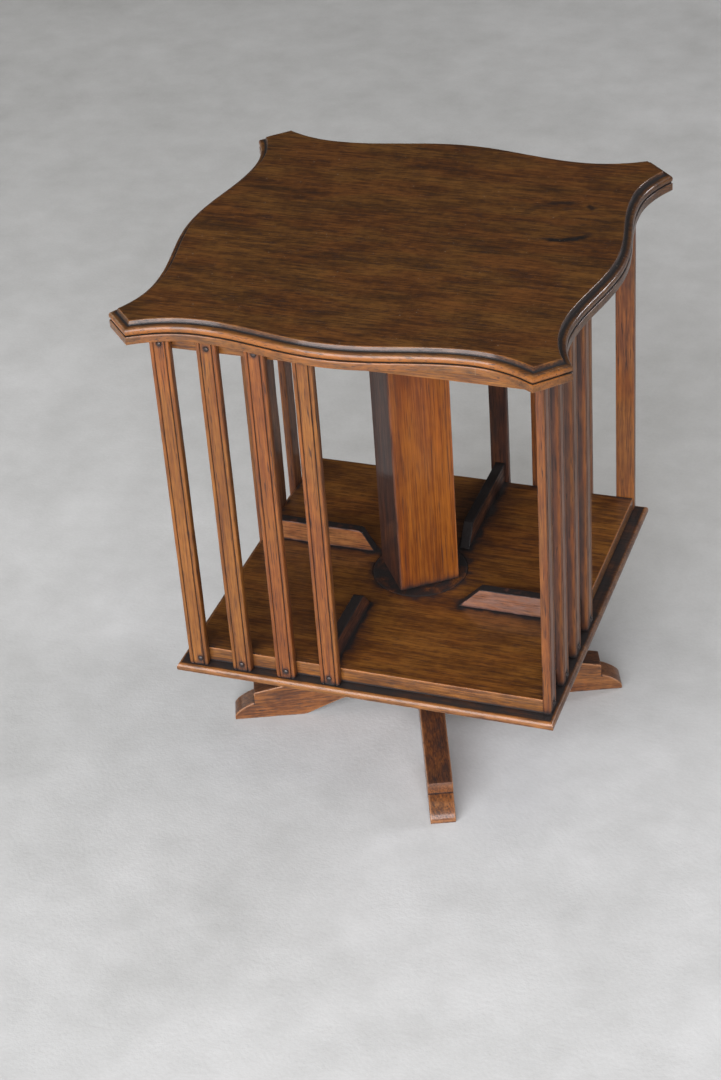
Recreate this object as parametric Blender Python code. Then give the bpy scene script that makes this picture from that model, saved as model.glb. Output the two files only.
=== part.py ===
"""A small revolving bookcase table in oak, in metres, +Z up.

The origin is on the floor below the centre post. The case (boards, slats, dividers and top) is
square to X and Y and turns about Z. The cross foot, the pivot block and the centre post stand
still. The front of the case faces -Y.
"""

from math import cos, pi, radians, sin, sqrt

import bmesh
import bpy
from mathutils import Matrix, Vector

# Driving dimensions
HEIGHT = 0.559
GAP = 0.0003

TOP_THICK = 0.021
TOP_HALF = 0.2125
TOP_OVERHANG = 0.0080
CANT_START = 0.192
BOW_CREST = 0.2130
BOW_HOLLOW = 0.1960
BOW_HOLLOW_AT = 0.130
BOW_STEPS = 9
SUB_TOP_THICK = 0.0203

BASE_TOP = 0.1535
BASE_THICK = 0.008
BASE_HALF = 0.198
BASE_ROUND_R = 0.0045
BASE_CHAMFER = 0.0012
SHELF_THICK = 0.0165

SLAT_WIDTH = 0.0202
SLAT_THICK = 0.0083
SLAT_FACE = 0.1927
SLAT_FIRST = 0.1752
SLAT_PITCH = 0.0472
SLATS_PER_SIDE = 4

DIVIDER_THICK = 0.0105
DIVIDER_TOP = 0.1948

POST_HALF = 0.0321
POST_ANGLE = radians(36.4)
POST_TOP = 0.5150

FOOT_ANGLE = radians(22.0)
FOOT_WIDTH = 0.026
FOOT_TOE_R = 0.211
FOOT_STEP_R = 0.1885
FOOT_STEP_LOW = 0.021
FOOT_STEP_HIGH = 0.034
FOOT_TOE_H = 0.004
FOOT_TOE_STEPS = 6
FOOT_PAD_R = 0.134
FOOT_ARCH_R = 0.092
FOOT_ARCH_H = 0.018
FOOT_TOP = 0.062
FOOT_SEAT_R = 0.050

NECK_R = 0.0500
NECK_CLEARANCE = 0.0006
NECK_STANDS_PROUD = 0.0004
WAIST_R = 0.046
WAIST_TOP = 0.096
COVE_STEPS = 4
FLANGE_R = 0.068
FLANGE_LOW = 0.126
RING_THICK = 0.0020
RING_IN_R = 0.0520
RING_OUT_R = 0.0660
RING_SCREW_AT = 0.0590

ROD_R = 0.0050
ROD_LOW = 0.0185
ROD_RISE = 0.060
WASHER_R = 0.0110
WASHER_THICK = 0.0015
NUT_R = 0.0092
NUT_THICK = 0.0060
RECESS_R = 0.0120
RECESS_DEPTH = 0.0095

PIN_R = 0.0060
PIN_CLEARANCE = 0.0008
PIN_SINK = 0.040
PIN_INTO_SUB_TOP = 0.012
PIN_HOLE_EXTRA = 0.002
PLATE_R = 0.026
PLATE_THICK = 0.0017
PLATE_SCREW_AT = 0.0185

# Screws: head radius, shank radius, length
FOOT_SCREW = (0.0045, 0.0024, 0.0700)
BASE_SCREW = (0.0038, 0.0018, 0.0190)
SUB_TOP_SCREW = (0.0038, 0.0018, 0.0300)
RING_SCREW = (0.0024, 0.0012, 0.0085)
PLATE_SCREW = (0.0024, 0.0012, 0.0120)
SCREW_RIM = 0.0003
SCREW_TIP_RATIO = 1.5
BOARD_SCREW_AT = 0.140
FOOT_SCREW_AT = 0.034

# How far a cutter runs past the faces that it opens
PAST = 0.010
PAST_SCREW = 0.002

# Sides of the round pieces
SCREW_SIDES = 8
ROD_SIDES = 12
PIN_SIDES = 16
PLATE_SIDES = 24
BLOCK_SIDES = 40
NECK_HOLE_SIDES = 48

# Levels that follow from them
TOP_BASE = HEIGHT - TOP_THICK
SUB_TOP_HIGH = TOP_BASE - GAP
SUB_TOP_LOW = SUB_TOP_HIGH - SUB_TOP_THICK
PIN_HIGH = SUB_TOP_LOW + PIN_INTO_SUB_TOP
PLATE_LOW = SUB_TOP_LOW - GAP - PLATE_THICK
SHELF_LOW = BASE_TOP + GAP
SHELF_TOP = SHELF_LOW + SHELF_THICK
BASE_LOW = BASE_TOP - BASE_THICK
SLAT_LOW = BASE_TOP + GAP
SLAT_HIGH = TOP_BASE - GAP
BOARD_HALF = SLAT_FACE - SLAT_THICK - GAP
UPPER_RING_LOW = BASE_LOW - GAP - RING_THICK
LOWER_RING_LOW = UPPER_RING_LOW - GAP - RING_THICK
FLANGE_TOP = LOWER_RING_LOW - GAP
NECK_TOP = SHELF_TOP + NECK_STANDS_PROUD
POST_LOW = NECK_TOP + GAP
WASHER_LOW = FOOT_ARCH_H + RECESS_DEPTH - GAP - WASHER_THICK
NUT_LOW = WASHER_LOW - GAP - NUT_THICK

# Each side's turn about Z, in quarters, and its divider: distance of its centre line from the
# axis, distance of its inner end, and how far the mitre leans back
SIDES = {
    "front": (0, 0.0355, 0.0720, 0.0200),
    "right": (1, 0.0495, 0.0590, 0.0235),
    "back": (2, 0.0345, 0.0465, 0.0180),
    "left": (3, 0.0237, 0.0575, 0.0140),
}

# Colours
OAK_DARK = (0.075, 0.032, 0.013)
OAK_MID = (0.150, 0.062, 0.022)
OAK_WARM = (0.230, 0.095, 0.032)
OAK_POST = (0.260, 0.088, 0.024)
IRON = (0.045, 0.038, 0.034)
STEEL = (0.300, 0.290, 0.280)
OAK_ROUGHNESS = 0.42
METAL_ROUGHNESS = 0.5
METALLIC = 0.9


def clear_scene():
    """Removes whatever the scene holds."""
    for item in list(bpy.data.objects):
        bpy.data.objects.remove(item, do_unlink=True)


def material(name, colour, roughness, metallic):
    """A plain Principled material."""
    made = bpy.data.materials.new(name)
    made.use_nodes = True
    shader = made.node_tree.nodes["Principled BSDF"]
    shader.inputs["Base Color"].default_value = (*colour, 1.0)
    shader.inputs["Roughness"].default_value = roughness
    shader.inputs["Metallic"].default_value = metallic
    return made


def oak(name, colour):
    """Waxed oak of one shade."""
    return material(name + "_oak", colour, OAK_ROUGHNESS, 0.0)


def metal(name, colour):
    """Dull metal."""
    return material(name + "_metal", colour, METAL_ROUGHNESS, METALLIC)


def place(name, mesh, finish, turn=0.0, location=(0.0, 0.0, 0.0), parent=None):
    """A named object of the model, turned about Z and moved."""
    made = bpy.data.objects.new(name, mesh)
    bpy.context.scene.collection.objects.link(made)
    if not mesh.materials:
        mesh.materials.append(finish)
    made.rotation_euler = (0.0, 0.0, turn)
    made.location = location
    made.parent = parent
    return made


def mesh_from(name, build):
    """A mesh whose faces point outwards, made by build(bm)."""
    bm = bmesh.new()
    build(bm)
    bmesh.ops.recalc_face_normals(bm, faces=bm.faces)
    mesh = bpy.data.meshes.new(name)
    bm.to_mesh(mesh)
    bm.free()
    return mesh


def band(bm, low, high):
    """Joins two closed rings of equally many vertices."""
    count = len(low)
    for i in range(count):
        j = (i + 1) % count
        bm.faces.new((low[i], low[j], high[j], high[i]))


def loft(bm, rings):
    """Joins closed rings of points one after another, and caps the first and the last."""
    loops = [[bm.verts.new(point) for point in ring] for ring in rings]
    for low, high in zip(loops, loops[1:]):
        band(bm, low, high)
    bm.faces.new(loops[0][::-1])
    bm.faces.new(loops[-1])


def prism(name, outline, low, high):
    """A flat outline of (x, y) points, extruded from low to high along Z."""
    rings = [[(x, y, z) for x, y in outline] for z in (low, high)]
    return mesh_from(name, lambda bm: loft(bm, rings))


def upright(name, outline, half):
    """An outline of (x, z) points, extruded from -half to half along Y."""
    rings = [[(x, y, z) for x, z in outline] for y in (-half, half)]
    return mesh_from(name, lambda bm: loft(bm, rings))


def circle(radius, count, turn=0.0):
    """Points of a regular polygon about the origin."""
    steps = (turn + 2 * pi * i / count for i in range(count))
    return [(radius * cos(a), radius * sin(a)) for a in steps]


def square(half):
    """A square outline about the origin."""
    return [(-half, -half), (half, -half), (half, half), (-half, half)]


def at_level(outline, z):
    """Points (x, y) lifted to one level."""
    return [(x, y, z) for x, y in outline]


def turned(bm, profile, count, matrix):
    """A solid turned about Z from (radius, z) points, both ends on the axis."""
    ends = [bm.verts.new(matrix @ Vector((0.0, 0.0, profile[i][1]))) for i in (0, -1)]
    rings = []
    for radius, z in profile[1:-1]:
        points = at_level(circle(radius, count), z)
        rings.append([bm.verts.new(matrix @ Vector(point)) for point in points])
    for low, high in zip(rings, rings[1:]):
        band(bm, low, high)
    for end, ring in zip(ends, (rings[0], rings[-1])):
        for i in range(count):
            bm.faces.new((end, ring[i], ring[(i + 1) % count]))


def cut(mesh, *cutters):
    """The mesh with each cutter mesh taken out of it."""
    body = bpy.data.objects.new("cut_body", mesh)
    bpy.context.scene.collection.objects.link(body)
    tools = []
    for cutter in cutters:
        tool = bpy.data.objects.new("cutter", cutter)
        bpy.context.scene.collection.objects.link(tool)
        step = body.modifiers.new("cut", "BOOLEAN")
        step.operation = "DIFFERENCE"
        step.solver = "EXACT"
        step.object = tool
        tools.append(tool)
    bpy.context.view_layer.update()
    evaluated = body.evaluated_get(bpy.context.evaluated_depsgraph_get())
    result = bpy.data.meshes.new_from_object(evaluated)
    result.name = mesh.name
    for item in (body, *tools):
        bpy.data.objects.remove(item, do_unlink=True)
    return result


def bore(radius, sides, low, high):
    """A round cutter on the axis."""
    return prism("bore", circle(radius, sides), low, high)


def screw_profile(head_r, shank_r, length):
    """A countersunk screw pointing up: head face at 0, tip at its length."""
    return (
        (0, 0),
        (head_r, 0),
        (head_r, SCREW_RIM),
        (shank_r, SCREW_RIM + head_r - shank_r),
        (shank_r, length - shank_r * SCREW_TIP_RATIO),
        (0, length),
    )


def screw_hole(head_r, shank_r, length):
    """The countersunk hole for such a screw, clear of it whichever way it is turned."""
    seat = 2 * SCREW_RIM
    wide, narrow = ((r + GAP) / cos(pi / SCREW_SIDES) for r in (head_r, shank_r))
    return (
        (0, -PAST_SCREW),
        (wide, -PAST_SCREW),
        (wide, seat),
        (narrow, seat + head_r - shank_r),
        (narrow, length + GAP),
        (0, length + GAP),
    )


def pointing(down):
    """The turn of a screw whose tip points up, or down."""
    return Matrix.Rotation(pi, 4, "X") if down else Matrix.Identity(4)


def holes(kind, points, down=False):
    """A cutter of one screw hole at each point."""
    profile = screw_hole(*kind)

    def build(bm):
        for point in points:
            turned(bm, profile, SCREW_SIDES, Matrix.Translation(point) @ pointing(down))

    return mesh_from("holes", build)


def place_screws(name, kind, points, finish, parent=None, down=False):
    """One screw at each point, numbered from 1."""
    profile = screw_profile(*kind)
    mesh = mesh_from(name, lambda bm: turned(bm, profile, SCREW_SIDES, pointing(down)))
    for number, point in enumerate(points, 1):
        place(f"{name}_{number}", mesh, finish, location=point, parent=parent)


# Places of the screw heads
BASE_SCREWS = at_level(square(BOARD_SCREW_AT), BASE_LOW)
SUB_TOP_SCREWS = at_level(square(BOARD_SCREW_AT), SUB_TOP_LOW)
BLOCK_SCREWS = at_level(circle(FOOT_SCREW_AT, 4, FOOT_ANGLE), FOOT_ARCH_H)
BAR_SCREWS = at_level(circle(FOOT_SCREW_AT, 2), FOOT_ARCH_H)
UPPER_RING_SCREWS = at_level(circle(RING_SCREW_AT, 3, pi / 3), UPPER_RING_LOW)
LOWER_RING_SCREWS = at_level(circle(RING_SCREW_AT, 3), LOWER_RING_LOW + RING_THICK)
PLATE_SCREWS = at_level(circle(PLATE_SCREW_AT, 3), PLATE_LOW)


def bow(along):
    """Distance of the top's arris from the middle plane, at a place along one side."""
    across = abs(along)
    if across <= BOW_HOLLOW_AT:
        middle = (BOW_CREST + BOW_HOLLOW) / 2
        swing = (BOW_CREST - BOW_HOLLOW) / 2
        return middle + swing * cos(pi * across / BOW_HOLLOW_AT)
    run = CANT_START - BOW_HOLLOW_AT
    rise = TOP_HALF - BOW_HOLLOW
    radius = (run**2 + rise**2) / (2 * rise)
    return BOW_HOLLOW + radius - sqrt(radius**2 - (across - BOW_HOLLOW_AT) ** 2)


def top_outline():
    """The top's arris: four serpentine sides between cut corners."""
    half = [CANT_START * i / BOW_STEPS for i in range(BOW_STEPS + 1)]
    along = [-s for s in half[:0:-1]] + half
    points = []
    for quarter in range(4):
        turn = Matrix.Rotation(quarter * pi / 2, 2)
        points += [turn @ Vector((s, -bow(s))) for s in along]
    return points


def offset(points, distance):
    """A closed outline moved outwards, with mitred corners."""
    moved = []
    for before, here, after in zip(points[-1:] + points[:-1], points, points[1:] + points[:1]):
        into = (here - before).normalized()
        out = (after - here).normalized()
        normals = Vector((into.y, -into.x)), Vector((out.y, -out.x))
        mitre = (normals[0] + normals[1]) / (1 + normals[0].dot(normals[1]))
        moved.append(here + mitre * distance)
    return moved


def top_edge():
    """The top's moulding from the bottom up: (share of the overhang, depth below the surface)."""
    fascia = [(0.90, TOP_THICK), (1.0, TOP_THICK - 0.0010), (1.0, 0.0137), (0.90, 0.0128)]
    quirk = [(0.66, 0.0125)]
    bead = [(0.62 + 0.36 * cos(a), 0.0086 + 0.0037 * sin(a)) for a in (0.9, 0.3, -0.4, -1.1)]
    step = [(0.42, 0.0046), (0.20, 0.0042), (0.24, 0.0032), (0.14, 0.0009), (0.0, 0.0)]
    return fascia + quirk + bead + step


def table_top():
    """The moulded top."""
    arris = top_outline()
    rings = [at_level(offset(arris, share * TOP_OVERHANG), HEIGHT - z) for share, z in top_edge()]
    solid = mesh_from("table_top", lambda bm: loft(bm, rings))
    return cut(solid, holes(SUB_TOP_SCREW, SUB_TOP_SCREWS))


def neck_hole():
    """The cutter for the round hole through both lower boards."""
    radius = NECK_R + NECK_CLEARANCE
    return bore(radius, NECK_HOLE_SIDES, BASE_LOW - PAST, SHELF_TOP + PAST)


def base_board():
    """The thin lower board, with a rounded edge and a round hole for the neck."""
    round_low = BASE_THICK - BASE_ROUND_R
    edge = [(-BASE_CHAMFER, 0.0), (0.0, BASE_CHAMFER), (0.0, round_low)]
    for angle in (pi / 6, pi / 3, pi / 2):
        reach = BASE_ROUND_R * (1 - cos(angle))
        edge.append((-reach, round_low + BASE_ROUND_R * sin(angle)))
    rings = [at_level(square(BASE_HALF + d), BASE_LOW + z) for d, z in edge]
    solid = mesh_from("base_board", lambda bm: loft(bm, rings))
    screws = holes(BASE_SCREW, BASE_SCREWS), holes(RING_SCREW, UPPER_RING_SCREWS)
    return cut(solid, neck_hole(), *screws)


def shelf_board():
    """The square shelf."""
    solid = prism("shelf_board", square(BOARD_HALF), SHELF_LOW, SHELF_TOP)
    return cut(solid, neck_hole(), holes(BASE_SCREW, BASE_SCREWS))


def sub_top():
    """The square board below the top."""
    solid = prism("sub_top", square(BOARD_HALF), SUB_TOP_LOW, SUB_TOP_HIGH)
    pin_hole = bore(PIN_R + PIN_CLEARANCE, PIN_SIDES, SUB_TOP_LOW - PAST, PIN_HIGH + PIN_HOLE_EXTRA)
    screws = holes(SUB_TOP_SCREW, SUB_TOP_SCREWS), holes(PLATE_SCREW, PLATE_SCREWS)
    return cut(solid, pin_hole, *screws)


def slat_outline():
    """A slat's section: flat back, a bead along each edge, a groove inside each bead."""
    half = SLAT_WIDTH / 2
    right = [
        (half, SLAT_THICK),
        (half, 0.0016),
        (half - 0.0009, 0.0003),
        (half - 0.0022, 0.0),
        (half - 0.0035, 0.0005),
        (half - 0.0041, 0.0015),
        (half - 0.0047, 0.0004),
        (half - 0.0052, 0.0),
    ]
    return right + [(-x, y) for x, y in right[::-1]]


def divider(tip, mitre):
    """A book stop along +X, from its mitred inner end out to the slats."""
    low = SHELF_TOP + GAP
    outline = [(tip, low), (BOARD_HALF, low), (BOARD_HALF, DIVIDER_TOP), (tip + mitre, DIVIDER_TOP)]
    return upright("divider", outline, DIVIDER_THICK / 2)


def foot_arm():
    """One arm of the foot in side view, from the middle of its top to the middle of its arch."""
    points = [(FOOT_SEAT_R, FOOT_TOP), (FOOT_STEP_R, FOOT_STEP_HIGH), (FOOT_STEP_R, FOOT_STEP_LOW)]
    for i in range(1, FOOT_TOE_STEPS + 1):
        angle = pi / 2 * (1 - i / FOOT_TOE_STEPS)
        reach = (FOOT_TOE_R - FOOT_STEP_R) * cos(angle)
        rise = (FOOT_STEP_LOW - FOOT_TOE_H) * (sin(angle) + 1 - cos(angle)) / 2
        points.append((FOOT_STEP_R + reach, FOOT_TOE_H + rise))
    return points + [(FOOT_TOE_R, 0.0), (FOOT_PAD_R, 0.0), (FOOT_ARCH_R, FOOT_ARCH_H)]


def foot_bar(name, notch_on_top):
    """A bar of the cross along X, notched for the other bar and bored for rod and screws."""
    notch = FOOT_WIDTH / 2 + GAP
    middle = (FOOT_TOP + FOOT_ARCH_H) / 2
    if notch_on_top:
        right = [(notch, middle), (notch, FOOT_TOP)] + foot_arm()
    else:
        right = foot_arm() + [(notch, FOOT_ARCH_H), (notch, middle + GAP)]
    solid = upright(name, right + [(-x, z) for x, z in right[::-1]], FOOT_WIDTH / 2)
    rod_hole = bore(ROD_R + GAP, ROD_SIDES, -PAST, FOOT_TOP + PAST)
    recess = bore(RECESS_R, PIN_SIDES, -PAST, FOOT_ARCH_H + RECESS_DEPTH)
    return cut(solid, rod_hole, recess, holes(FOOT_SCREW, BAR_SCREWS))


def pivot_block():
    """The turned block: seat, cove, flange and neck, bored for the rod and the screws."""
    seat = FOOT_TOP + GAP
    profile = [(0, seat), (WAIST_R, seat), (WAIST_R, WAIST_TOP)]
    for i in range(1, COVE_STEPS + 1):
        angle = pi / 2 * i / COVE_STEPS
        reach = (FLANGE_R - WAIST_R) * (1 - cos(angle))
        profile.append((WAIST_R + reach, WAIST_TOP + (FLANGE_LOW - WAIST_TOP) * sin(angle)))
    profile += [(FLANGE_R, FLANGE_TOP), (NECK_R, FLANGE_TOP), (NECK_R, NECK_TOP), (0, NECK_TOP)]
    solid = mesh_from("pivot_block", lambda bm: turned(bm, profile, BLOCK_SIDES, pointing(False)))
    rod_hole = bore(ROD_R + GAP, ROD_SIDES, seat - PAST, NECK_TOP + PAST)
    screws = holes(FOOT_SCREW, BLOCK_SCREWS), holes(RING_SCREW, LOWER_RING_SCREWS, down=True)
    return cut(solid, rod_hole, *screws)


def centre_post():
    """The square post, bored at its foot for the rod and at its top for the pin."""
    solid = prism("centre_post", square(POST_HALF), POST_LOW, POST_TOP)
    rod_hole = bore(ROD_R + GAP, ROD_SIDES, POST_LOW - PAST, POST_LOW + ROD_RISE + GAP)
    pin_hole = bore(PIN_R + GAP, PIN_SIDES, POST_TOP - PIN_SINK - GAP, POST_TOP + PAST)
    return cut(solid, rod_hole, pin_hole)


def disc(name, radius, sides, low, thick, hole, *screws):
    """A flat round piece with a round hole through it, and screw holes where it has them."""
    solid = prism(name, circle(radius, sides), low, low + thick)
    return cut(solid, bore(*hole, low - PAST, low + PAST), *screws)


def build_foot():
    """The cross and what ties it together."""
    foot_oak, foot_iron, steel = oak("foot", OAK_WARM), metal("foot", IRON), metal("rod", STEEL)
    rod_hole = (ROD_R + GAP, ROD_SIDES)
    place("foot_bar_lower", foot_bar("foot_bar_lower", True), foot_oak, FOOT_ANGLE)
    place("foot_bar_upper", foot_bar("foot_bar_upper", False), foot_oak, FOOT_ANGLE + pi / 2)
    place_screws("foot_screw", FOOT_SCREW, BLOCK_SCREWS, foot_iron)
    place("centre_rod", bore(ROD_R, ROD_SIDES, ROD_LOW, POST_LOW + ROD_RISE), steel)
    washer = disc("rod_washer", WASHER_R, PIN_SIDES, WASHER_LOW, WASHER_THICK, rod_hole)
    place("rod_washer", washer, steel)
    place("rod_nut", disc("rod_nut", NUT_R, 6, NUT_LOW, NUT_THICK, rod_hole), steel)


def build_pillar():
    """The pivot block, its bearing ring and the post."""
    ring_iron = metal("pillar", IRON)
    ring_hole = (RING_IN_R, BLOCK_SIDES)
    screws = holes(RING_SCREW, LOWER_RING_SCREWS, down=True)
    place("pivot_block", pivot_block(), oak("block", OAK_MID))
    name = "lower_bearing_ring"
    ring = disc(name, RING_OUT_R, BLOCK_SIDES, LOWER_RING_LOW, RING_THICK, ring_hole, screws)
    place(name, ring, ring_iron)
    place_screws("lower_ring_screw", RING_SCREW, LOWER_RING_SCREWS, ring_iron, down=True)
    place("centre_post", centre_post(), oak("post", OAK_POST), POST_ANGLE)
    place("top_pin", bore(PIN_R, PIN_SIDES, POST_TOP - PIN_SINK, PIN_HIGH), metal("pin", STEEL))


def build_boards(case):
    """The boards of the case and their screws."""
    case_iron = metal("case", IRON)
    place("base_board", base_board(), oak("base", OAK_WARM), parent=case)
    place("shelf_board", shelf_board(), oak("shelf", OAK_MID), parent=case)
    place("sub_top", sub_top(), oak("sub_top", OAK_MID), parent=case)
    place("table_top", table_top(), oak("top", OAK_DARK), parent=case)
    place_screws("base_screw", BASE_SCREW, BASE_SCREWS, case_iron, case)
    place_screws("sub_top_screw", SUB_TOP_SCREW, SUB_TOP_SCREWS, case_iron, case)


def build_bearings(case):
    """The bearing ring below the case and the plate round the pin, with their screws."""
    ring_iron = metal("bearing", IRON)
    ring_hole = (RING_IN_R, BLOCK_SIDES)
    screws = holes(RING_SCREW, UPPER_RING_SCREWS)
    name = "upper_bearing_ring"
    ring = disc(name, RING_OUT_R, BLOCK_SIDES, UPPER_RING_LOW, RING_THICK, ring_hole, screws)
    place(name, ring, ring_iron, parent=case)
    place_screws("upper_ring_screw", RING_SCREW, UPPER_RING_SCREWS, ring_iron, case)
    pin_hole = (PIN_R + PIN_CLEARANCE, PIN_SIDES)
    screws = holes(PLATE_SCREW, PLATE_SCREWS)
    name = "top_bearing_plate"
    plate = disc(name, PLATE_R, PLATE_SIDES, PLATE_LOW, PLATE_THICK, pin_hole, screws)
    place(name, plate, ring_iron, parent=case)
    place_screws("top_plate_screw", PLATE_SCREW, PLATE_SCREWS, ring_iron, case)


def build_sides(case):
    """Slats and dividers, side by side round the case."""
    slat_oak, divider_oak = oak("slat", OAK_WARM), oak("divider", OAK_MID)
    slat = prism("slat", slat_outline(), 0.0, SLAT_HIGH - SLAT_LOW)
    for side, (quarter, line, tip, mitre) in SIDES.items():
        angle = quarter * pi / 2
        turn = Matrix.Rotation(angle, 3, "Z")
        for index in range(SLATS_PER_SIDE):
            along = index * SLAT_PITCH - SLAT_FIRST
            spot = turn @ Vector((along, -SLAT_FACE, SLAT_LOW))
            place(f"slat_{side}_{index + 1}", slat, slat_oak, angle, spot, case)
        spot = turn @ Vector((-line, 0.0, 0.0))
        place(f"divider_{side}", divider(tip, mitre), divider_oak, angle - pi / 2, spot, case)


def build():
    """The whole bookcase."""
    clear_scene()
    case = bpy.data.objects.new("case_axis", None)
    bpy.context.scene.collection.objects.link(case)
    build_foot()
    build_pillar()
    build_boards(case)
    build_bearings(case)
    build_sides(case)


build()
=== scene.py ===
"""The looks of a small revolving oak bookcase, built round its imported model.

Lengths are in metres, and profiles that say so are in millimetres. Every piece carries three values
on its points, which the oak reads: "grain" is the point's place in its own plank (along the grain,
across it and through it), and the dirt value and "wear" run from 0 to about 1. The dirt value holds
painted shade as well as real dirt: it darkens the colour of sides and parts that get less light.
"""

from math import cos, pi, radians, sin, sqrt

import bmesh
import bpy
import numpy as np
from mathutils import Matrix, Vector, noise


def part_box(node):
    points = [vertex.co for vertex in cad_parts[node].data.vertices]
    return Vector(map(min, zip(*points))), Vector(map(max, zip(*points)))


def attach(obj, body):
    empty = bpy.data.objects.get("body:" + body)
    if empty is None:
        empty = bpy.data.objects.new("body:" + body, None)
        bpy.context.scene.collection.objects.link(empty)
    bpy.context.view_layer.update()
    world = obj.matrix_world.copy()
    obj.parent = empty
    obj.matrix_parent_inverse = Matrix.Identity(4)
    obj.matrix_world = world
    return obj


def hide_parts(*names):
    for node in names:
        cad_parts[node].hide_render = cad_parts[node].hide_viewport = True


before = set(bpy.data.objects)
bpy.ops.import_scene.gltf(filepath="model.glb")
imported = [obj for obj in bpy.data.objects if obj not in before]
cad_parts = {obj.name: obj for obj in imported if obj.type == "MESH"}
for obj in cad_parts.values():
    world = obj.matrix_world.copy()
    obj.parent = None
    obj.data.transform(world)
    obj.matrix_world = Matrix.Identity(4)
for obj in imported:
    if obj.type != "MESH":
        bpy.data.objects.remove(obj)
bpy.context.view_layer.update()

MM = 0.001
QUARTER = pi / 2
SIDES = ("front", "right", "back", "left")
SLATS_PER_SIDE = 4


def upright(node):
    """Levels of a node's lowest and highest points."""
    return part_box(node)[0].z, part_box(node)[1].z


# Levels and sizes of the main parts, from the frame
TOP_LOW, TOP_HIGH = upright("table_top")
SUB_TOP_LOW, SUB_TOP_HIGH = upright("sub_top")
SHELF_LOW, SHELF_TOP = upright("shelf_board")
BASE_LOW, BASE_TOP = upright("base_board")
SLAT_LOW, SLAT_HIGH = upright("slat_front_1")
POST_LOW, POST_TOP = upright("centre_post")
BLOCK_LOW, NECK_TOP = upright("pivot_block")
BOARD_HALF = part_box("shelf_board")[1].x
BASE_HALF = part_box("base_board")[1].x
SLAT_FACE = -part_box("slat_front_1")[0].y

# The design's own sizes, which the frame's boxes don't give
CANT_START = 0.192
TOP_HALF = 0.2125
BOW_CREST = 0.2130
BOW_HOLLOW = 0.1960
BOW_HOLLOW_AT = 0.130
POST_ANGLE = radians(36.4)
POST_HALF = 0.0321
FOOT_ANGLE = radians(22.0)
FOOT_HALF_WIDTH = 0.013
FOOT_TOP = 0.062
NECK_R = 0.0500
HOLE_R = 0.0506
RING_HOLE_R = 0.0520
PIN_HOLE_R = 0.0068


# ---- camera, floor and light ----


def add_camera():
    """The camera, at the photograph's viewing angle."""
    azimuth, elevation, roll = radians(21.58), radians(33.90), radians(-4.40)
    back = Vector((sin(azimuth) * cos(elevation), -cos(azimuth) * cos(elevation), sin(elevation)))
    level = (-back).cross(Vector((0, 0, 1))).normalized()
    lift = level.cross(-back)
    right = level * cos(roll) + lift * sin(roll)
    up = lift * cos(roll) - level * sin(roll)
    data = bpy.data.cameras.new("camera")
    data.lens = 78.41
    camera = bpy.data.objects.new("camera", data)
    bpy.context.scene.collection.objects.link(camera)
    camera.matrix_world = Matrix((right, up, back)).transposed().to_4x4()
    camera.location = (0.6928, -1.9163, 1.5813)
    bpy.context.scene.camera = camera


def add_light(name, location, target, size, power, colour):
    """A soft area light that faces a point."""
    data = bpy.data.lights.new(name, "AREA")
    data.shape = "RECTANGLE"
    data.size, data.size_y = size
    data.energy = power
    data.color = colour
    light = bpy.data.objects.new(name, data)
    light.location = location
    aim = Vector(target) - Vector(location)
    light.rotation_euler = aim.to_track_quat("-Z", "Y").to_euler()
    bpy.context.scene.collection.objects.link(light)


def add_lights():
    """A wide low daylight from the front, dimmer ones from the sides, and one overhead."""
    add_light("day", (0.1, -4.0, 1.8), (0.0, 0.0, 0.25), (5.6, 3.4), 496.0, (0.96, 0.965, 1.0))
    add_light("right", (2.7, 2.6, 1.9), (0.0, 0.0, 0.4), (0.8, 0.7), 46.0, (0.97, 0.95, 1.0))
    add_light("left", (-3.6, 1.2, 1.5), (0.0, 0.0, 0.2), (2.4, 1.8), 16.0, (1.0, 0.97, 0.91))
    add_light("overhead", (0.3, 0.1, 3.6), (0.0, 0.0, 0.0), (2.6, 2.6), 24.0, (1.0, 0.95, 0.82))


def add_surround():
    """The dim air round the scene, darkest behind the table."""
    world = bpy.data.worlds.new("surround")
    world.use_nodes = True
    wires = Wires(world.node_tree)
    shade = world.node_tree.nodes["Background"]
    heading = wires.node("SeparateXYZ", {0: wires.node("TexCoord").outputs["Generated"]}).outputs[1]
    wires.feed(shade.inputs["Strength"], wires.ease(heading, -0.2, 0.6, 0.12, 0.032))
    shade.inputs["Color"].default_value = (1.0, 0.98, 0.93, 1.0)
    bpy.context.scene.world = world
    bpy.context.scene.view_settings.view_transform = "Standard"


# ---- node wiring ----


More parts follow.
